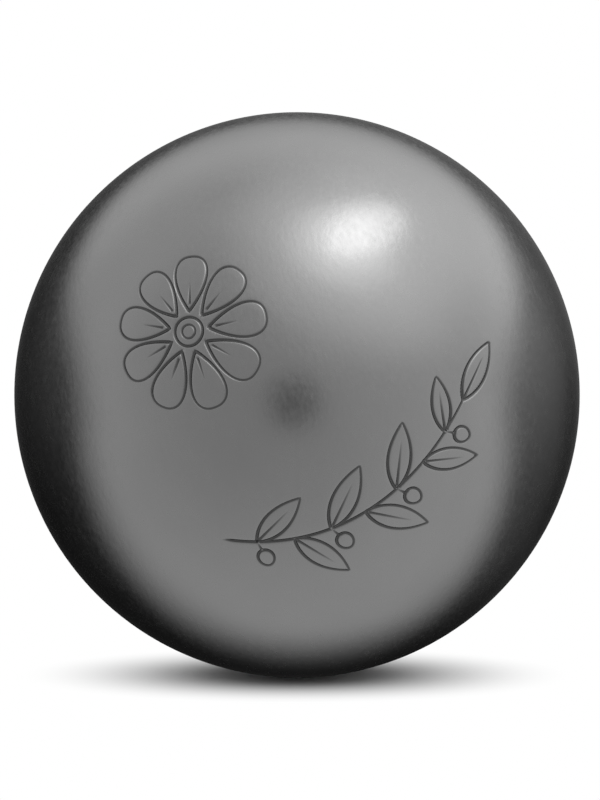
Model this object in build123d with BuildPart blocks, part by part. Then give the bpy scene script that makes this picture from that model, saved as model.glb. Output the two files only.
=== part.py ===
from build123d import *
import os
from math import cos, radians, sin

# Petanque boule: a hollow steel ball made of two stamped half shells.
# The rims of the shells butt on a flat land and are bevelled outside it. One weld bead fills
# the groove all the way round and is turned flush with the ball, so no seam can be felt.
# Millimetres, +Z up, origin at the centre of the ball. The shells face each other along Y:
# the weld lies in the XZ plane, and the front of the ball looks towards -Y.

# Driving dimensions
BALL_DIAMETER = 74.0
WALL = 6.0
ROOT_LAND = 2.0  # height of the flat rim on which the shells butt, measured from the cavity
ROOT_RADIUS = 0.8  # rounding at the foot of the weld groove
BEVEL_ANGLE = 30.0  # slope of each side of the weld groove, in degrees from the weld plane
STEEL_DENSITY = 7.85e-3  # grams per cubic millimetre

# Sizes that follow from the driving dimensions
ball_radius = BALL_DIAMETER / 2
cavity_radius = ball_radius - WALL
groove_foot = cavity_radius + ROOT_LAND
quarter_turn = 90
half_turn = 180

# One side of the weld groove, from the land out to the skin of the ball.
# The front shell, the rear shell and the weld bead all take their groove from this line.
bevel = radians(BEVEL_ANGLE)
skin_circle = Edge.make_circle(ball_radius)
with BuildLine() as groove_side:
    foot_rounding = CenterArc(
        center=(groove_foot + ROOT_RADIUS, 0),
        radius=ROOT_RADIUS,
        start_angle=half_turn,
        arc_size=quarter_turn - BEVEL_ANGLE,
    )
    flank = IntersectingLine(
        start=foot_rounding @ 1,
        direction=Vector(cos(bevel), -sin(bevel)),
        other=skin_circle,
    )
land_end = foot_rounding @ 0
groove_lip = flank @ 1

# Front half shell: a bowl of even wall with a bevelled rim
front_pole = (0, -ball_radius)
with BuildPart() as front_half_shell:
    with BuildSketch(Plane.XY) as shell_section:
        with BuildLine():
            add(groove_side.line)
            outside = RadiusArc(front_pole, groove_lip, -ball_radius)
            land = Line(land_end, (cavity_radius, 0))
            inside = RadiusArc(land @ 1, (0, -cavity_radius), cavity_radius)
            Line(inside @ 1, outside @ 0)
        make_face()
    revolve(axis=Axis.Y)

# Rear half shell: the same stamping, turned to face the front one
with BuildPart() as rear_half_shell:
    mirror(front_half_shell.part, about=Plane.XZ)

# Weld bead: weld metal that fills the groove between both rims, turned flush outside
with BuildPart() as weld_bead:
    with BuildSketch(Plane.XY) as bead_section:
        with BuildLine():
            add(groove_side.line)
            mirror(groove_side.line, about=Plane.XZ)
            RadiusArc(groove_lip, (groove_lip.X, -groove_lip.Y), -ball_radius)
        make_face()
    revolve(axis=Axis.Y)

# Every piece goes to its own STEP file
pieces = {
    "front_half_shell": front_half_shell,
    "rear_half_shell": rear_half_shell,
    "weld_bead": weld_bead,
}
os.makedirs("parts", exist_ok=True)
for name, piece in pieces.items():
    piece.part.label = name
    export_step(piece.part, f"parts/{name}.step")

steel_volume = sum(piece.part.volume for piece in pieces.values())
print(f"ball diameter {BALL_DIAMETER} mm, wall {WALL} mm, cavity radius {cavity_radius} mm")
print(f"weld bead {-2 * groove_lip.Y:.2f} mm wide at the skin, land {ROOT_LAND} mm")
print(f"mass {steel_volume * STEEL_DENSITY:.1f} g")
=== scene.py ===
from math import asin, cos, pi, radians, sin, sqrt, tan

import bpy
from mathutils import Matrix, Vector
from mathutils.geometry import delaunay_2d_cdt


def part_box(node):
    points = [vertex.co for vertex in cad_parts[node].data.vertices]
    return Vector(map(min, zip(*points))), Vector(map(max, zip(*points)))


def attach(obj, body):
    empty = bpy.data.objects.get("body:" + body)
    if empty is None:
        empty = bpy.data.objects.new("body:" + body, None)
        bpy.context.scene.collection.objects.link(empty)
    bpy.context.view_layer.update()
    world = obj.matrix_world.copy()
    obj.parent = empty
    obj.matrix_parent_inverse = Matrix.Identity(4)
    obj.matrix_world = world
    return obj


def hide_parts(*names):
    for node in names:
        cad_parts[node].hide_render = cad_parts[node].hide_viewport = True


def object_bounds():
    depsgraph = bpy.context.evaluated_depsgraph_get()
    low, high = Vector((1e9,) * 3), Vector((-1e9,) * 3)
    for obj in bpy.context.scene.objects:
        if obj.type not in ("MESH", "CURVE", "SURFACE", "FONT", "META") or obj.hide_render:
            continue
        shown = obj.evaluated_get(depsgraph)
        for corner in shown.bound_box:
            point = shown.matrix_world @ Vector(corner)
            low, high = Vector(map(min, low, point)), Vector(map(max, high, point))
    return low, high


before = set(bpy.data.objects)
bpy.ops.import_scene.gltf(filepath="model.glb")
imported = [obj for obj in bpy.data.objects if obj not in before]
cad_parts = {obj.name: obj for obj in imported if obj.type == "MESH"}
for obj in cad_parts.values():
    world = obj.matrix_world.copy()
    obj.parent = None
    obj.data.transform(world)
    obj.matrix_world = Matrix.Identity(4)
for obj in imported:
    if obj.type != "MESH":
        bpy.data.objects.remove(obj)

# Petanque boule in satin steel: two half shells, joined by a weld that is turned flush.
# A flower and a leafy sprig are cut into the front shell. Metres, in the frame of the solids:
# the centre of the ball is the origin, +Z is up, and the front of the ball looks towards -Y.

MM = 0.001
MICRON = 0.000001
# Points nearer to each other than this are one point
SAME_PLACE = 1.0 * MICRON

# The ball, from the frame
solid_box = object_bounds()
bead_low, bead_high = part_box("weld_bead")
BALL_RADIUS = (solid_box[1].y - solid_box[0].y) / 2
SEAM_HALF_WIDTH = (bead_high.y - bead_low.y) / 2
SEAM_RADIUS = sqrt(BALL_RADIUS**2 - SEAM_HALF_WIDTH**2)
SEAM_ANGLE = asin(SEAM_HALF_WIDTH / BALL_RADIUS)

# The welded joint inside the wall
WALL = 6.0 * MM
ROOT_LAND = 2.0 * MM
ROOT_RADIUS = 0.8 * MM
BEVEL_ANGLE = radians(30)
CAVITY_RADIUS = BALL_RADIUS - WALL
GROOVE_FOOT = CAVITY_RADIUS + ROOT_LAND

# How finely the turned shapes are divided
TURNS = 240
SKIN_STEPS = 80
BEAD_STEPS = 8
CAVITY_STEPS = 30
ROOT_STEPS = 5
SHARP_EDGE = radians(55)

# The cut of the engraving tool: a narrow groove in a wide, very shallow dip. The weight of a line
# is its share of the full depth. A line of no weight keeps the least share of the groove's width.
CUT_HALF_WIDTH = 0.27 * MM
CUT_LEAST_WIDTH = 0.45
CUT_DEPTH = 0.20 * MM
CUT_ROUNDNESS = 1.6
DIP_HALF_WIDTH = 0.95 * MM
DIP_DEPTH = 0.018 * MM
# An outline is heaviest at its foot and lightest at its tip. An open line runs out thinly.
OUTLINE_WEIGHT = 0.78
OUTLINE_SWELL = 0.22
RUN_OUT = 0.7

# The net of the engraved skin. Rows of points lie beside each line: millimetres from the line, and
# how many line points one row point stands for. A row point is dropped where another line comes
# nearer than a share of the row's own distance, less a slack.
LINE_STEP = 0.2 * MM
ROWS = {0.0: 1, 0.07: 1, 0.14: 1, 0.21: 1, 0.27: 1, 0.36: 2, 0.52: 2, 0.74: 3, 0.98: 4}
ROW_SHARE = 0.96
ROW_SLACK = 0.008 * MM
# Even points fill the rest of the skin, clear of the lines and of the seam
SKIN_SUBDIVISIONS = 6
LINE_CLEARANCE = 1.3 * MM
SEAM_CLEARANCE = 0.8 * MM
# What counts as one point: in the rows, where the skin meets the hidden side, and in the flat net
ROW_MERGE = 0.05 * MM
SEAM_MERGE = 0.01 * MM
NET_TOLERANCE = 1e-9

# The flower, measured along the skin. Ends say how an outline closes at its foot and at its tip:
# 0.5 is round, 1 is a point. A vein runs between two shares of the length. The turn is in radians.
PETALS = 9
PETAL_FOOT = 2.7 * MM
PETAL_LENGTH = 7.6 * MM
PETAL_WIDTH = 4.5 * MM
PETAL_ENDS = (0.95, 0.42)
PETAL_VEIN = (0.14, 0.52)
PETAL_VEIN_WEIGHT = 0.7
FLOWER_EYE = 1.9 * MM
FLOWER_EYE_WEIGHT = 0.85
EYE_RING = 0.9 * MM
EYE_RING_WEIGHT = 0.6
FLOWER_TURN = 0.2
FLOWER_PLACE = (-14.0 * MM, 11.5 * MM, 0)

# The sprig. Its stem is cut fully from one share of its length on, and then fades by a share of its
# weight. The largest leaf would stand at a share of the stem, and the others taper away from it.
STEM_START = (-10.0 * MM, -15.5 * MM, 0)
STEM_BEND = (10.0 * MM, -17.5 * MM, 0)
STEM_END = (22.0 * MM, 2.5 * MM, 0)
STEM_FULL = 0.05
STEM_FADE = 0.35
LEAVES = 8
LEAF_LENGTH = 9.0 * MM
LEAF_WIDTH = 3.2 * MM
LEAF_ENDS = (0.85, 1.0)
LEAF_VEIN = (0.06, 0.74)
LEAF_VEIN_WEIGHT = 0.75
LEAF_LEAN = radians(46)
LARGEST_LEAF = 0.42
LEAF_TAPER = 0.9
BERRY_LENGTH = 2.4 * MM
BERRY_WIDTH = 2.1 * MM
BERRY_ENDS = (0.5, 0.55)
BERRY_STALK = 1.4 * MM
BERRY_STALK_WEIGHT = 0.8
BERRY_LEAN = radians(66)

# Points of the drawn lines, before they are spaced evenly
PETAL_POINTS = 72
PETAL_VEIN_POINTS = 12
FLOWER_EYE_POINTS = 48
EYE_RING_POINTS = 32
STEM_POINTS = 160
LEAF_POINTS = 80
LEAF_VEIN_POINTS = 24
BERRY_POINTS = 56
BERRY_STALK_POINTS = 12

# The satin finish. Each pattern is noise with a scale per metre. Its other numbers say how far it
# shifts the tone, as a share of it, the roughness, and the height, in microns. Streaks and waves
# are tilted, in radians, and drawn out.
STREAK_SCALE = 1800.0
STREAK_TONE = 0.06
STREAK_ROUGHNESS = 0.18
STREAK_HEIGHT = 11.5
STREAK_TILT = (0.0, -0.2, 0.0)
STREAK_STRETCH = (1.0, 1.75, 1.75)
WAVE_SCALE = 600.0
WAVE_ROUGHNESS = 0.04
WAVE_HEIGHT = 7.0
CLOUD_SCALE = 130.0
CLOUD_TONE = 0.10
CLOUD_ROUGHNESS = 0.05
# The bottom of a cut carries painted shade and is rougher, fully so from this share of the groove's
# depth
BOTTOM_FULL = 0.4
BOTTOM_PAINTED_SHADE = 0.7
BOTTOM_ROUGHNESS = 0.22
# What the steel reflects at a glancing angle
GLANCING_TINT = (0.35, 0.35, 0.35, 1.0)

# The stage. The shadow on the floor is partly painted: its outline is where the floor's white glow
# fades in between two distances, in radii of the ball, squeezed in depth; inside, the grey paint takes
# real shade. The dome's foot hangs just above the floor.
STAGE_TURNS = 64
FLOOR_RADIUS = 4.0
FLOOR_PAINT = (0.68, 0.68, 0.68, 1)
WHITE = (1, 1, 1, 1)
SHADOW_CORE = 0.246
SHADOW_END = 0.991
SHADOW_SQUEEZE = 1.527
DOME_RADIUS = 0.5
DOME_STEPS = 24
DOME_GAP = 0.05 * MM

# The painted dark flag on the rear of the dome, a painted reflection of dark surroundings. Its edge is
# a place along y, from -1 at the front to 1 at the rear. It bends with the height above and below the
# horizon and leans from left to right.
EDGE_PLACE = 0.005
EDGE_BEND_ABOVE = 3.61
EDGE_SLOPE_BELOW = 0.408
EDGE_LEAN = 0.052
EDGE_LEAN_UPWARDS = 0.143
EDGE_SOFTNESS = 0.219
EDGE_SHARPER_RIGHT = 0.044
EDGE_SOFTER_ABOVE = 0.46
SOFTNESS_SPAN = (-0.5, 0.5)
# How light the flag is at its lower left, what the right adds, and by what share the top raises it
FLAG_TONE = 0.048
FLAG_LIGHTER_RIGHT = 0.128
FLAG_LIGHTER_ABOVE = 2.36
TONE_SPAN_ACROSS = (-0.6, 0.8)
TONE_SPAN_UPWARDS = (-0.5, 0.4)
# The strength of the soft boxes' glow, which keeps their colours under white
BOX_STRENGTH = 4.0

# The oval lamp. Its place and its half sizes are in degrees, as the ball sees them.
LAMP_AZIMUTH = 62.4
LAMP_ELEVATION = 66.1
LAMP_DISTANCE = 0.48
LAMP_HALF_WIDTH = 18.1
LAMP_HALF_HEIGHT = 8.4
LAMP_RADIANCE = 1.85

# The photograph's view: its pixels, the ball's outline as measured in it, and the camera, with its
# elevation in degrees and its sensor in millimetres
IMAGE_WIDTH = 600
IMAGE_HEIGHT = 800
BALL_PIXELS = 282.8
BALL_CENTRE = (297.0, 394.9)
CAMERA_DISTANCE = 0.60
CAMERA_ELEVATION = 5.5
SENSOR_WIDTH = 36.0


class Value:
    """An output socket of a node tree. Arithmetic on it adds Math nodes."""

    def __init__(self, graph, socket):
        self.graph = graph
        self.socket = socket

    def also(self, output):
        """Another output of the same node."""
        return Value(self.graph, self.socket.node.outputs[output])

    def __add__(self, other):
        return self.graph.math("ADD", self, other)

    def __radd__(self, other):
        return self.graph.math("ADD", other, self)

    def __sub__(self, other):
        return self.graph.math("SUBTRACT", self, other)

    def __rsub__(self, other):
        return self.graph.math("SUBTRACT", other, self)

    def __mul__(self, other):
        return self.graph.math("MULTIPLY", self, other)

    def __rmul__(self, other):
        return self.graph.math("MULTIPLY", other, self)

    def __truediv__(self, other):
        return self.graph.math("DIVIDE", self, other)

    def __rtruediv__(self, other):
        return self.graph.math("DIVIDE", other, self)

    def __pow__(self, other):
        return self.graph.math("POWER", self, other)

    def __mod__(self, other):
        return self.graph.math("MODULO", self, other)

    def __lt__(self, other):
        return self.graph.math("LESS_THAN", self, other)

    def __gt__(self, other):
        return self.graph.math("GREATER_THAN", self, other)

    def __abs__(self):
        return self.graph.math("ABSOLUTE", self)

    def sine(self):
        return self.graph.math("SINE", self)

    def cosine(self):
        return self.graph.math("COSINE", self)

    def at_least(self, low):
        return self.graph.math("MAXIMUM", self, low)

    def at_most(self, high):
        return self.graph.math("MINIMUM", self, high)

    def smooth(self, low, high):
        """A smooth step from 0 at low to 1 at high."""
        return self.graph.add(
            "ShaderNodeMapRange",
            {"interpolation_type": "SMOOTHSTEP"},
            {"Value": self, "From Min": low, "From Max": high},
        )


class Graph:
    """A node tree while it is being built."""

    def __init__(self, tree):
        self.tree = tree

    def add(self, kind, settings=None, sockets=None, output=0):
        """A new node: its settings, then the values or links of its sockets. Gives one output."""
        node = self.tree.nodes.new(kind)
        for name, setting in (settings or {}).items():
            setattr(node, name, setting)
        for name, value in (sockets or {}).items():
            for item in value if isinstance(value, list) else [value]:
                if isinstance(item, Value):
                    self.tree.links.new(item.socket, node.inputs[name])
                else:
                    node.inputs[name].default_value = item
        return Value(self, node.outputs[output]) if node.outputs else node

    def math(self, operation, *terms):
        return self.add("ShaderNodeMath", {"operation": operation}, dict(enumerate(terms)))

    def vector(self, operation, *terms, output=0):
        return self.add("ShaderNodeVectorMath", {"operation": operation}, dict(enumerate(terms)), output)

    def normalized(self, vector):
        return self.vector("NORMALIZE", vector)

    def length(self, vector):
        return self.vector("LENGTH", vector, output="Value")

    def scaled(self, vector, factor):
        return self.add(
            "ShaderNodeVectorMath", {"operation": "SCALE"}, {"Vector": vector, "Scale": factor}
        )

    def combined(self, x=0.0, y=0.0, z=0.0):
        return self.add("ShaderNodeCombineXYZ", {}, {"X": x, "Y": y, "Z": z})

    def separated(self, vector):
        x = self.add("ShaderNodeSeparateXYZ", {}, {"Vector": vector})
        return x, x.also("Y"), x.also("Z")


class ShapeGraph(Graph):
    """A Geometry Nodes tree with named inputs."""

    SOCKETS = {
        "number": "NodeSocketFloat",
        "count": "NodeSocketInt",
        "place": "NodeSocketVector",
        "object": "NodeSocketObject",
        "material": "NodeSocketMaterial",
    }

    def __init__(self, name, inputs):
        super().__init__(bpy.data.node_groups.new(name, "GeometryNodeTree"))
        interface = self.tree.interface
        interface.new_socket("Geometry", in_out="OUTPUT", socket_type="NodeSocketGeometry")
        interface.new_socket("Geometry", in_out="INPUT", socket_type="NodeSocketGeometry")
        for label, kind in inputs.items():
            interface.new_socket(label, in_out="INPUT", socket_type=self.SOCKETS[kind])
        self.base = self.add("NodeGroupInput", output="Geometry")

    def __getitem__(self, label):
        """A named input of the tree."""
        return self.base.also(label)

    def position(self):
        return self.add("GeometryNodeInputPosition")

    def index(self):
        return self.add("GeometryNodeInputIndex")

    def shape_of(self, label):
        """The shape of the object that is a named input."""
        return self.add("GeometryNodeObjectInfo", {}, {"Object": self[label]}, "Geometry")

    def circle(self, points, radius=1.0):
        return self.add("GeometryNodeMeshCircle", {}, {"Vertices": points, "Radius": radius})

    def moved(self, geometry, **where):
        """A shape whose points are moved one by one, to a Position or by an Offset."""
        return self.add("GeometryNodeSetPosition", {}, {"Geometry": geometry, **where})

    def shifted(self, geometry, **how):
        """A shape moved as a whole, by a Translation and a Rotation."""
        return self.add("GeometryNodeTransform", {}, {"Geometry": geometry, **how})

    def joined(self, *geometries):
        return self.add("GeometryNodeJoinGeometry", {}, {"Geometry": list(geometries)})

    def without(self, geometry, selection):
        return self.add(
            "GeometryNodeDeleteGeometry",
            {"domain": "POINT"},
            {"Geometry": geometry, "Selection": selection},
        )

    def merged(self, geometry, distance):
        return self.add(
            "GeometryNodeMergeByDistance", {}, {"Geometry": geometry, "Distance": distance}
        )

    def stored(self, geometry, label, value, kind="FLOAT"):
        return self.add(
            "GeometryNodeStoreNamedAttribute",
            {"data_type": kind, "domain": "POINT"},
            {"Geometry": geometry, "Name": label, "Value": value},
        )

    def named(self, label, kind="FLOAT"):
        return self.add("GeometryNodeInputNamedAttribute", {"data_type": kind}, {"Name": label})

    def sampled(self, geometry, value, index, kind="FLOAT"):
        """A value at one point of another shape."""
        return self.add(
            "GeometryNodeSampleIndex",
            {"data_type": kind, "domain": "POINT"},
            {"Geometry": geometry, "Value": value, "Index": index},
        )

    def repeated(self, geometry, points, **how):
        """Copies of a shape on points, as plain geometry."""
        sockets = {"Points": points, "Instance": geometry, **how}
        copies = self.add("GeometryNodeInstanceOnPoints", {}, sockets)
        return self.add("GeometryNodeRealizeInstances", {}, {"Geometry": copies})

    def chosen(self, index, numbers):
        """The number with that index in a list of plain numbers."""
        switch = self.add("GeometryNodeIndexSwitch", {"data_type": "FLOAT"}, {"Index": index})
        node = switch.socket.node
        while len(node.index_switch_items) < len(numbers):
            node.index_switch_items.new()
        for place, number in enumerate(numbers):
            node.inputs[place + 1].default_value = number
        return Value(self, node.outputs[0])

    def distance_to(self, lines):
        return self.add(
            "GeometryNodeProximity", {"target_element": "EDGES"}, {"Geometry": lines}, "Distance"
        )

    def finish(self, geometry, material=None):
        """Ends the tree. With a material, the shape is smooth but for its sharp corners."""
        real = self.add("GeometryNodeRealizeInstances", {}, {"Geometry": geometry})
        if material:
            angle = self.add("GeometryNodeInputMeshEdgeAngle")
            real = self.add("GeometryNodeSetShadeSmooth", {"domain": "FACE"}, {"Geometry": real})
            real = self.add(
                "GeometryNodeSetShadeSmooth",
                {"domain": "EDGE"},
                {"Geometry": real, "Selection": angle > SHARP_EDGE, "Shade Smooth": False},
            )
            real = self.add(
                "GeometryNodeSetMaterial", {}, {"Geometry": real, "Material": material}
            )
        self.add("NodeGroupOutput", {}, {"Geometry": real})

    def made(self, name, base=None, **values):
        """The plain mesh that this tree makes of a base mesh and its input values."""
        maker = linked(name, base or bpy.data.meshes.new(name))
        modifier = maker.modifiers.new(name, "NODES")
        modifier.node_group = self.tree
        for item in self.tree.interface.items_tree:
            if item.in_out == "INPUT" and item.name in values:
                modifier[item.identifier] = values[item.name]
        evaluated = maker.evaluated_get(bpy.context.evaluated_depsgraph_get())
        mesh = bpy.data.meshes.new_from_object(evaluated)
        bpy.data.objects.remove(maker)
        return mesh


class LookGraph(Graph):
    """The shader tree of a new material or world."""

    def __init__(self, owner):
        owner.use_nodes = True
        owner.node_tree.nodes.clear()
        super().__init__(owner.node_tree)
        self.owner = owner

    def object_place(self):
        return self.add("ShaderNodeTexCoord", output="Object")

    def noise(self, place, scale, detail):
        """Noise about zero."""
        sockets = {"Vector": place, "Scale": scale, "Detail": detail}
        return self.add("ShaderNodeTexNoise", {}, sockets) - 0.5

    def grey(self, level):
        return self.add("ShaderNodeCombineColor", {}, {"Red": level, "Green": level, "Blue": level})

    def glow(self, level, strength=1.0):
        """A grey glow. The level may vary from place to place, the strength is one number."""
        return self.add("ShaderNodeEmission", {}, {"Color": self.grey(level), "Strength": strength})

    def mixed(self, factor, first, second):
        return self.add("ShaderNodeMixShader", {}, {0: factor, 1: first, 2: second})

    def finish(self, shader, kind="Material"):
        """Ends the tree and gives the material, or the world, that it belongs to."""
        self.add("ShaderNodeOutput" + kind, {}, {"Surface": shader})
        return self.owner


def linked(name, data):
    """A new object in the scene, at the origin."""
    made = bpy.data.objects.new(name, data)
    bpy.context.scene.collection.objects.link(made)
    return made


# Turned shapes


def arc(radius, start, end, steps, centre=(0.0, 0.0)):
    """Points of an arc, as (radius from the axis, place along the axis). Angles from the radius."""
    angles = [start + (end - start) * step / steps for step in range(steps + 1)]
    return [(centre[0] + radius * cos(a), centre[1] + radius * sin(a)) for a in angles]


def groove_side(towards):
    """One side of the weld groove, from the skin down to the land. Towards is -1 at the front."""
    root = arc(ROOT_RADIUS, pi / 2 + BEVEL_ANGLE, pi, ROOT_STEPS, (GROOVE_FOOT + ROOT_RADIUS, 0))
    return [(SEAM_RADIUS, SEAM_HALF_WIDTH * towards)] + [(r, y * towards) for r, y in root]


def rim_and_cavity(towards):
    """The hidden part of a half shell: groove side, land and cavity wall, down to the pole."""
    cavity = arc(CAVITY_RADIUS, 0, pi / 2 * towards, CAVITY_STEPS)
    return groove_side(towards) + cavity


def turning_tree():
    """Turns a profile round the Y axis. X of the profile is the radius, Y the place on the axis."""
    graph = ShapeGraph("turned profile", {"Points": "count", "Turns": "count", "Finish": "material"})
    columns = graph["Turns"] + 1
    grid = graph.add("GeometryNodeMeshGrid", {}, {"Vertices X": graph["Points"], "Vertices Y": columns})
    row = graph.math("FLOOR", (graph.index() + 0.5) / columns)
    column = graph.index() - row * columns
    angle = 2 * pi * column / graph["Turns"]
    profile = graph.sampled(graph.base, graph.position(), row, "FLOAT_VECTOR")
    radius, along, _ = graph.separated(profile)
    place = graph.combined(radius * angle.cosine(), along, radius * angle.sine())
    shape = graph.merged(graph.moved(grid, Position=place), SAME_PLACE)
    graph.finish(shape, graph["Finish"])
    return graph


def turned(turning, name, profile, material, turns=TURNS):
    """The mesh of a profile that is turned round the Y axis."""
    points = [(radius, along, 0) for radius, along in profile]
    edges = [(i, i + 1) for i in range(len(profile) - 1)]
    line = bpy.data.meshes.new(name)
    line.from_pydata(points, edges, [])
    return turning.made(name, line, Points=len(profile), Turns=turns, Finish=material)


# The engraving


def closed_outline(graph, points, length, width, ends):
    """A closed outline along X, from its foot at the origin to its tip."""
    foot, tip = ends
    widest = foot / (foot + tip)
    fullness = widest**foot * (1 - widest) ** tip
    turn = graph.index() * (2 * pi / points)
    share = 0.5 - turn.cosine() * 0.5
    half = (share**foot) * ((1 - share) ** tip) * (width * (0.5 / fullness))
    side = graph.math("SIGN", turn.sine())
    drawn = graph.moved(graph.circle(points), Position=graph.combined(share * length, half * side))
    return graph.stored(drawn, "weight", OUTLINE_WEIGHT + OUTLINE_SWELL * turn.cosine())


def open_line(graph, points, start, end, weight):
    """A straight line along X whose cut starts full and runs out thinly."""
    step = (end - start) * (1 / (points - 1))
    line = graph.add(
        "GeometryNodeMeshLine",
        {},
        {"Count": points, "Start Location": graph.combined(start), "Offset": graph.combined(step)},
    )
    share = graph.index() * (1 / (points - 1))
    return graph.stored(line, "weight", (1 - share) ** RUN_OUT * weight)


def vein(graph, points, length, run, weight):
    """A line along the middle of a petal or leaf, between two shares of its length."""
    start, end = run
    return open_line(graph, points, length * start, length * end, weight)


def flower(graph):
    """Petals round an eye of two rings, about the origin of a flat drawing."""
    length = graph["Petal Length"]
    petal = graph.joined(
        closed_outline(graph, PETAL_POINTS, length, graph["Petal Width"], PETAL_ENDS),
        vein(graph, PETAL_VEIN_POINTS, length, PETAL_VEIN, PETAL_VEIN_WEIGHT),
    )
    petal = graph.shifted(petal, Translation=graph.combined(graph["Petal Foot"]))
    centres = graph.add("GeometryNodePoints", {}, {"Count": PETALS})
    turn = graph.index() * (2 * pi / PETALS) + FLOWER_TURN
    petals = graph.repeated(petal, centres, Rotation=graph.combined(z=turn))
    eye = graph.circle(FLOWER_EYE_POINTS, graph["Flower Eye"])
    ring = graph.circle(EYE_RING_POINTS, graph["Eye Ring"])
    return graph.joined(
        petals,
        graph.stored(eye, "weight", FLOWER_EYE_WEIGHT),
        graph.stored(ring, "weight", EYE_RING_WEIGHT),
    )


def sprig(graph):
    """A bent stem with leaves on both sides by turns, and berries on short stalks."""
    stem = graph.add(
        "GeometryNodeCurveQuadraticBezier",
        {},
        {
            "Resolution": STEM_POINTS,
            "Start": graph["Stem Start"],
            "Middle": graph["Stem Bend"],
            "End": graph["Stem End"],
        },
    )
    along = graph.add("GeometryNodeSplineParameter")
    stem = graph.stored(stem, "weight", along.smooth(0.0, STEM_FULL) * (1.0 - STEM_FADE * along))
    stem_line = graph.add("GeometryNodeCurveToMesh", {}, {"Curve": stem})

    joints = graph.add(
        "GeometryNodeCurveToPoints", {"mode": "COUNT"}, {"Curve": stem, "Count": LEAVES + 1}
    )
    heading_x, heading_y, _ = graph.separated(joints.also("Tangent"))
    heading = graph.math("ARCTAN2", heading_y, heading_x)
    order = graph.index()
    side = (order % 2) * 2 - 1
    inner = (order > 0.5) * (order < LEAVES - 0.5)
    last = order > LEAVES - 0.5
    from_largest = order / LEAVES - LARGEST_LEAF
    growth = 1.0 - LEAF_TAPER * from_largest * from_largest

    length = graph["Leaf Length"]
    leaf = graph.joined(
        closed_outline(graph, LEAF_POINTS, length, graph["Leaf Width"], LEAF_ENDS),
        vein(graph, LEAF_VEIN_POINTS, length, LEAF_VEIN, LEAF_VEIN_WEIGHT),
    )
    lean = graph.combined(z=heading + side * graph["Leaf Lean"])
    size = graph.combined(growth, growth, 1.0)
    leaves = graph.repeated(leaf, joints, Rotation=lean, Scale=size, Selection=inner)
    straight = graph.combined(z=heading)
    tip_leaf = graph.repeated(leaf, joints, Rotation=straight, Selection=last)

    stalk_length = graph["Berry Stalk"]
    berry = closed_outline(
        graph, BERRY_POINTS, graph["Berry Length"], graph["Berry Width"], BERRY_ENDS
    )
    berry = graph.shifted(berry, Translation=graph.combined(stalk_length))
    stalk = open_line(graph, BERRY_STALK_POINTS, stalk_length, 0.0, BERRY_STALK_WEIGHT)
    hang = graph.combined(z=heading - side * graph["Berry Lean"])
    bearing = (order % 2) * inner
    berries = graph.repeated(graph.joined(berry, stalk), joints, Rotation=hang, Selection=bearing)
    return graph.joined(stem_line, leaves, tip_leaf, berries)


def wrapped(graph, drawing):
    """Lays a flat drawing on the front of the ball, keeping distances from the front pole."""
    across, up, _ = graph.separated(graph.position())
    reach = graph.length(graph.position()).at_least(SAME_PLACE)
    angle = reach / BALL_RADIUS
    spread = angle.sine() * BALL_RADIUS / reach
    place = graph.combined(across * spread, angle.cosine() * -BALL_RADIUS, up * spread)
    return graph.moved(drawing, Position=place)


def on_skin(graph, place):
    """The nearest place on the ball's skin."""
    return graph.scaled(graph.normalized(place), BALL_RADIUS)


def engraving_lines():
    """The centre lines of all cuts, as evenly spaced points on the skin."""
    inputs = {
        "Petal Foot": ("number", PETAL_FOOT),
        "Petal Length": ("number", PETAL_LENGTH),
        "Petal Width": ("number", PETAL_WIDTH),
        "Flower Eye": ("number", FLOWER_EYE),
        "Eye Ring": ("number", EYE_RING),
        "Flower Place": ("place", FLOWER_PLACE),
        "Stem Start": ("place", STEM_START),
        "Stem Bend": ("place", STEM_BEND),
        "Stem End": ("place", STEM_END),
        "Leaf Length": ("number", LEAF_LENGTH),
        "Leaf Width": ("number", LEAF_WIDTH),
        "Leaf Lean": ("number", LEAF_LEAN),
        "Berry Length": ("number", BERRY_LENGTH),
        "Berry Width": ("number", BERRY_WIDTH),
        "Berry Stalk": ("number", BERRY_STALK),
        "Berry Lean": ("number", BERRY_LEAN),
        "Line Step": ("number", LINE_STEP),
    }
    graph = ShapeGraph("engraved ornament", {label: kind for label, (kind, _) in inputs.items()})
    placed_flower = graph.shifted(flower(graph), Translation=graph["Flower Place"])
    drawing = wrapped(graph, graph.joined(placed_flower, sprig(graph)))
    curve = graph.add("GeometryNodeMeshToCurve", {}, {"Mesh": drawing})
    curve = graph.add(
        "GeometryNodeResampleCurve", {"mode": "LENGTH"}, {"Curve": curve, "Length": graph["Line Step"]}
    )
    curve = graph.moved(curve, Position=on_skin(graph, graph.position()))
    curve = graph.stored(curve, "along", graph.add("GeometryNodeInputTangent"), "FLOAT_VECTOR")
    graph.finish(graph.add("GeometryNodeCurveToMesh", {}, {"Curve": curve}))
    return graph.made("engraving", **{label: value for label, (_, value) in inputs.items()})


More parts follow.
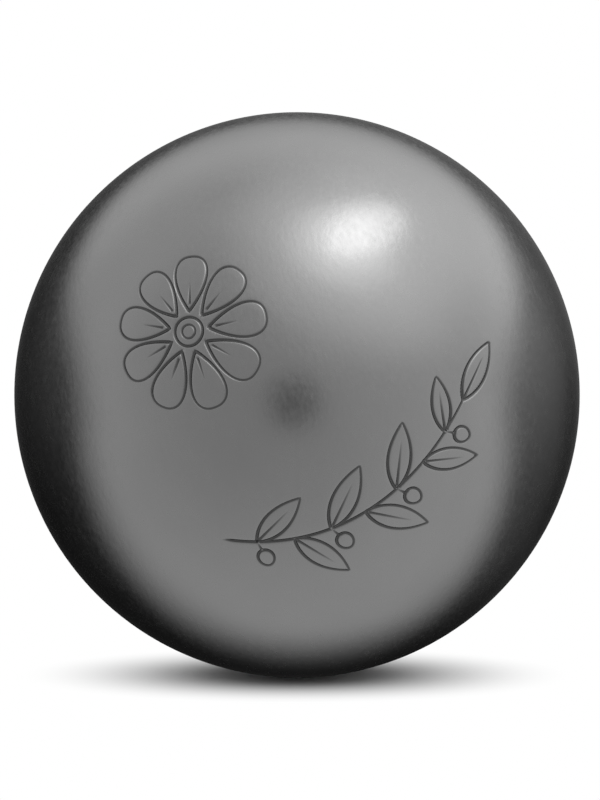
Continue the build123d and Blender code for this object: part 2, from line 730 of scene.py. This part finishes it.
def skin_points(lines):
    """Points for the front skin: rows beside every line, even points elsewhere, and the seam."""
    graph = ShapeGraph("front skin points", {"Clearance": "number", "Turns": "count"})
    line = graph.base
    points = graph.add("GeometryNodeMeshToPoints", {}, {"Mesh": line})
    points = graph.stored(points, "order", graph.index())
    sides = [(gap, side) for gap in ROWS for side in (1, -1) if gap or side > 0]
    rows = graph.add(
        "GeometryNodeDuplicateElements",
        {"domain": "POINT"},
        {"Geometry": points, "Amount": len(sides)},
    )
    row = rows.also("Duplicate Index")
    offset = graph.chosen(row, [side * gap * MM for gap, side in sides])
    stride = graph.chosen(row, [ROWS[gap] for gap, _ in sides])
    along = graph.named("along", "FLOAT_VECTOR")
    aside = graph.vector("CROSS_PRODUCT", graph.normalized(graph.position()), along)
    place = graph.vector("ADD", graph.position(), graph.scaled(aside, offset))
    rows = graph.moved(rows, Position=on_skin(graph, place))
    too_close = graph.distance_to(line) < abs(offset) * ROW_SHARE - ROW_SLACK
    skipped = (graph.named("order") % stride) > 0.5
    rows = graph.without(rows, graph.math("MAXIMUM", too_close, skipped))
    rows = graph.add("GeometryNodePointsToVertices", {}, {"Points": rows})
    rows = graph.merged(rows, ROW_MERGE)

    ball = graph.add(
        "GeometryNodeMeshIcoSphere", {}, {"Radius": BALL_RADIUS, "Subdivisions": SKIN_SUBDIVISIONS}
    )
    _, depth, _ = graph.separated(graph.position())
    behind = depth > -SEAM_HALF_WIDTH - SEAM_CLEARANCE
    near_line = graph.distance_to(line) < graph["Clearance"]
    ball = graph.without(ball, graph.math("MAXIMUM", behind, near_line))

    seam = graph.circle(graph["Turns"], SEAM_RADIUS)
    seam = graph.shifted(seam, Translation=(0, -SEAM_HALF_WIDTH, 0), Rotation=(pi / 2, 0, 0))
    graph.finish(graph.joined(rows, ball, seam))
    mesh = graph.made("front skin points", lines, Clearance=LINE_CLEARANCE, Turns=TURNS)
    return [vertex.co.copy() for vertex in mesh.vertices]


def triangulated(points):
    """The skin through points of the ball: their Delaunay net, seen from the rear pole."""
    flat = [Vector((p.x, p.z)) / (BALL_RADIUS - p.y) for p in points]
    # Output of type 0 is triangles over the convex hull
    _, _, faces, origins, _, _ = delaunay_2d_cdt(flat, [], [], 0, NET_TOLERANCE)
    mesh = bpy.data.meshes.new("front skin")
    mesh.from_pydata([points[origin[0]] for origin in origins], [], faces)
    return mesh


def engraved(skin, lines, hidden_side, material):
    """The front shell: cuts the lines into its skin and joins the skin to its hidden side."""
    graph = ShapeGraph(
        "engraved shell",
        {
            "Lines": "object",
            "Hidden Side": "object",
            "Cut Half Width": "number",
            "Cut Depth": "number",
            "Dip Half Width": "number",
            "Dip Depth": "number",
            "Finish": "material",
        },
    )
    line = graph.shape_of("Lines")
    nearest = graph.add("GeometryNodeSampleNearest", {"domain": "POINT"}, {"Geometry": line})
    weight = graph.sampled(line, graph.named("weight"), nearest)
    distance = graph.distance_to(line)
    half_width = graph["Cut Half Width"] * (CUT_LEAST_WIDTH + (1 - CUT_LEAST_WIDTH) * weight)
    cut = (1 - (distance / half_width).at_most(1.0) ** CUT_ROUNDNESS) * weight
    dip = (1 - distance.smooth(0.0, graph["Dip Half Width"])) * weight
    sunk = cut * graph["Cut Depth"] + dip * graph["Dip Depth"]
    inwards = graph.scaled(graph.normalized(graph.position()), sunk * -1.0)
    cut_skin = graph.stored(graph.moved(graph.base, Offset=inwards), "groove", cut)
    shell = graph.joined(cut_skin, graph.shape_of("Hidden Side"))
    graph.finish(graph.merged(shell, SEAM_MERGE), graph["Finish"])

    helpers = {"Lines": linked("Lines", lines), "Hidden Side": linked("Hidden Side", hidden_side)}
    sizes = {
        "Cut Half Width": CUT_HALF_WIDTH,
        "Cut Depth": CUT_DEPTH,
        "Dip Half Width": DIP_HALF_WIDTH,
        "Dip Depth": DIP_DEPTH,
    }
    mesh = graph.made("engraved front shell", skin, Finish=material, **sizes, **helpers)
    for helper in helpers.values():
        bpy.data.objects.remove(helper)
    return mesh


# Steel


def satin_steel(name, tone, roughness):
    """Dark bare steel, polished to a satin: cloudy, faintly wavy, with fine streaks all one way."""
    graph = LookGraph(bpy.data.materials.new(name))
    place = graph.object_place()
    drawn_out = graph.add(
        "ShaderNodeMapping",
        {"vector_type": "TEXTURE"},
        {"Vector": place, "Rotation": STREAK_TILT, "Scale": STREAK_STRETCH},
    )
    streaks = graph.noise(drawn_out, STREAK_SCALE, detail=2.0)
    waves = graph.noise(drawn_out, WAVE_SCALE, detail=1.0)
    clouds = graph.noise(place, CLOUD_SCALE, detail=3.0)
    groove = graph.add("ShaderNodeAttribute", {"attribute_name": "groove"}, output="Fac")
    bottom = groove.smooth(0.0, BOTTOM_FULL)
    # The bottom of a cut is darkened with painted shade
    shade = tone * (1 + clouds * CLOUD_TONE + streaks * STREAK_TONE) * (1 - bottom * BOTTOM_PAINTED_SHADE)
    uneven = clouds * CLOUD_ROUGHNESS + streaks * STREAK_ROUGHNESS + waves * WAVE_ROUGHNESS
    height = streaks * STREAK_HEIGHT + waves * WAVE_HEIGHT
    bump = graph.add("ShaderNodeBump", {}, {"Strength": 1.0, "Distance": MICRON, "Height": height})
    steel = graph.add(
        "ShaderNodeBsdfPrincipled",
        {},
        {
            "Base Color": graph.grey(shade),
            "Metallic": 1.0,
            "Roughness": roughness + uneven + bottom * BOTTOM_ROUGHNESS,
            "Specular Tint": GLANCING_TINT,
            "Normal": bump,
        },
    )
    return graph.finish(steel)


# Stage


def direction(azimuth, elevation):
    """A direction by its degrees to the right of the front and above the horizon."""
    azimuth, elevation = radians(azimuth), radians(elevation)
    flat = cos(elevation)
    return Vector((flat * sin(azimuth), -flat * cos(azimuth), sin(elevation)))


def aimed(name, data, azimuth, elevation, distance):
    """A lamp or camera that looks at the centre of the ball from that direction."""
    towards = direction(azimuth, elevation)
    made = linked(name, data)
    made.location = towards * distance
    made.rotation_mode = "QUATERNION"
    made.rotation_quaternion = towards.to_track_quat("Z", "Y")
    return made


def stage_piece(name, turning, profile, material):
    """A piece of the stage: a profile that is turned round the upright axis."""
    mesh = turned(turning, name, profile, material, STAGE_TURNS)
    mesh.transform(Matrix.Rotation(pi / 2, 4, "X"))
    made = linked(name, mesh)
    return made


def white_surroundings():
    """An even white light from all sides."""
    graph = LookGraph(bpy.data.worlds.new("white surroundings"))
    sky = graph.add("ShaderNodeBackground", {}, {"Color": WHITE, "Strength": 1.0})
    bpy.context.scene.world = graph.finish(sky, "World")


def pale_floor(turning):
    """White to the eye and in reflections, but for the ball's shadow near the point of contact. The
    shadow's outline is painted where the white glow is held back; there the grey paint takes real shade.
    """
    graph = LookGraph(bpy.data.materials.new("pale floor"))
    squeezed = graph.vector("MULTIPLY", graph.object_place(), (1.0, SHADOW_SQUEEZE, 1.0))
    reach = graph.length(squeezed) / BALL_RADIUS
    camera_ray = graph.add("ShaderNodeLightPath", output="Is Camera Ray")
    seen = camera_ray + camera_ray.also("Is Glossy Ray") + camera_ray.also("Is Transmission Ray")
    # Painted shadow outline: the white glow is held back in a squeezed patch round the point of contact
    white = (seen * reach.smooth(SHADOW_CORE, SHADOW_END)).at_most(1.0)
    paint = graph.add("ShaderNodeBsdfDiffuse", {}, {"Color": FLOOR_PAINT})
    material = graph.finish(graph.mixed(white, paint, graph.glow(1.0)))
    floor = stage_piece("floor", turning, [(0.0, 0.0), (FLOOR_RADIUS, 0.0)], material)
    floor.location.z = -BALL_RADIUS


def reflected_studio(turning):
    """Soft boxes and dark flags round the ball, painted as glow on one clear dome that only reflections
    show: a painted reflection of a studio.
    """
    graph = LookGraph(bpy.data.materials.new("studio dome"))
    towards = graph.normalized(graph.object_place())
    x, y, z = graph.separated(towards)

    def patch(strength, azimuth, elevation, full, end):
        """A round patch of the dome. It is full and it ends at so many degrees from its middle."""
        along = graph.vector("DOT_PRODUCT", towards, direction(azimuth, elevation), output="Value")
        return strength * along.smooth(cos(radians(end)), cos(radians(full)))

    above = z.at_least(0.0)
    edge = EDGE_PLACE + EDGE_BEND_ABOVE * above * above + EDGE_SLOPE_BELOW * z.at_most(0.0)
    edge = edge - x * (EDGE_LEAN + EDGE_LEAN_UPWARDS * z)
    sharper = EDGE_SHARPER_RIGHT * x.smooth(*SOFTNESS_SPAN)
    softness = EDGE_SOFTNESS - sharper + EDGE_SOFTER_ABOVE * above
    rear_flag = ((y - edge) / softness).smooth(-1.0, 1.0)
    flag_tone = FLAG_TONE + FLAG_LIGHTER_RIGHT * x.smooth(*TONE_SPAN_ACROSS)
    flag_tone = flag_tone * (1 + FLAG_LIGHTER_ABOVE * z.smooth(*TONE_SPAN_UPWARDS))
    # A painted shadow on the dome, which the rim reflects in place of the shadow under the ball, and a
    # painted darker corner at the rear right
    painted_ball_shadow = patch(0.9, azimuth=153, elevation=-70.5, full=5, end=46)
    dark_corner = patch(0.55, azimuth=147, elevation=-22, full=6, end=27)
    flag_tone = flag_tone * (1 - painted_ball_shadow) * (1 - dark_corner)

    # The front of the dome carries painted shade towards a painted dark hole, through which the camera
    # looks
    front_shade = patch(0.345, azimuth=-14, elevation=15, full=0, end=77)
    lens_hole = patch(0.672, azimuth=-1.1, elevation=3.2, full=0, end=13)
    clear = (1 - rear_flag) * (1 - (front_shade + lens_hole).at_most(1.0))
    flags = graph.mixed(clear, graph.glow(flag_tone), graph.add("ShaderNodeBsdfTransparent"))

    wide_box = patch(0.806, azimuth=44.7, elevation=60, full=1, end=52)
    small_box = patch(0.94, azimuth=36, elevation=63, full=7, end=22.6)
    rear_box = patch(1.7, azimuth=164, elevation=-9, full=1, end=100)
    boxes = (wide_box + small_box + rear_box) * (1 - rear_flag)
    light = graph.glow(boxes / BOX_STRENGTH, BOX_STRENGTH)
    material = graph.finish(graph.add("ShaderNodeAddShader", {}, {0: flags, 1: light}))

    foot = DOME_GAP - BALL_RADIUS
    profile = [(0.0, foot)] + arc(DOME_RADIUS, asin(foot / DOME_RADIUS), pi / 2, DOME_STEPS)
    dome = stage_piece("studio_dome", turning, profile, material)
    dome.visible_camera = False
    dome.visible_diffuse = False
    dome.visible_shadow = False
    dome.visible_transmission = False


def key_lamp():
    """An oval lamp of even radiance, turned towards the ball."""
    lamp = bpy.data.lights.new("key lamp", "AREA")
    lamp.shape = "ELLIPSE"
    lamp.size = 2 * LAMP_DISTANCE * tan(radians(LAMP_HALF_WIDTH))
    lamp.size_y = 2 * LAMP_DISTANCE * tan(radians(LAMP_HALF_HEIGHT))
    area = pi * lamp.size * lamp.size_y / 4
    lamp.energy = LAMP_RADIANCE * pi * area
    aimed("key lamp", lamp, LAMP_AZIMUTH, LAMP_ELEVATION, LAMP_DISTANCE)


def photo_camera():
    """The photograph's view, with the ball's outline at its measured place and size."""
    focal_pixels = BALL_PIXELS * sqrt(CAMERA_DISTANCE**2 - BALL_RADIUS**2) / BALL_RADIUS
    lens = bpy.data.cameras.new("camera")
    lens.sensor_width = SENSOR_WIDTH
    lens.lens = focal_pixels * SENSOR_WIDTH / IMAGE_HEIGHT
    lens.shift_x = (IMAGE_WIDTH / 2 - BALL_CENTRE[0]) / IMAGE_HEIGHT
    lens.shift_y = (BALL_CENTRE[1] - IMAGE_HEIGHT / 2) / IMAGE_HEIGHT
    bpy.context.scene.camera = aimed("camera", lens, 0.0, CAMERA_ELEVATION, CAMERA_DISTANCE)


def piece(name, mesh, node):
    """A finished piece of the ball, which shows a node of the frame."""
    made = linked(name, mesh)
    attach(made, "root")
    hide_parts(node)


bpy.context.scene.view_settings.view_transform = "Standard"
shell_steel = satin_steel("satin shell steel", tone=0.226, roughness=0.24)
weld_steel = satin_steel("satin weld steel", tone=0.220, roughness=0.25)
turning = turning_tree()

# Front shell: the engraved skin, and the hidden side from the seam to the pole of the cavity
lines = engraving_lines()
skin = triangulated(skin_points(lines))
hidden_side = turned(turning, "front hidden side", rim_and_cavity(-1), shell_steel)
front = engraved(skin, lines, hidden_side, shell_steel)
piece("engraved_front_shell", front, "front_half_shell")

# Rear shell: from the pole of the cavity out to the seam, then over the skin to the rear pole
rear_profile = rim_and_cavity(1)[:0:-1] + arc(BALL_RADIUS, SEAM_ANGLE, pi / 2, SKIN_STEPS)
rear = turned(turning, "rear shell", rear_profile, shell_steel)
piece("polished_rear_shell", rear, "rear_half_shell")

# Weld bead: up the front side of the groove, over the flush face, and down the rear side
flush_face = arc(BALL_RADIUS, -SEAM_ANGLE, SEAM_ANGLE, BEAD_STEPS)[1:-1]
bead_profile = groove_side(-1)[::-1] + flush_face + groove_side(1)
bead = turned(turning, "weld bead", bead_profile, weld_steel)
piece("flush_weld_bead", bead, "weld_bead")

white_surroundings()
pale_floor(turning)
reflected_studio(turning)
key_lamp()
photo_camera()
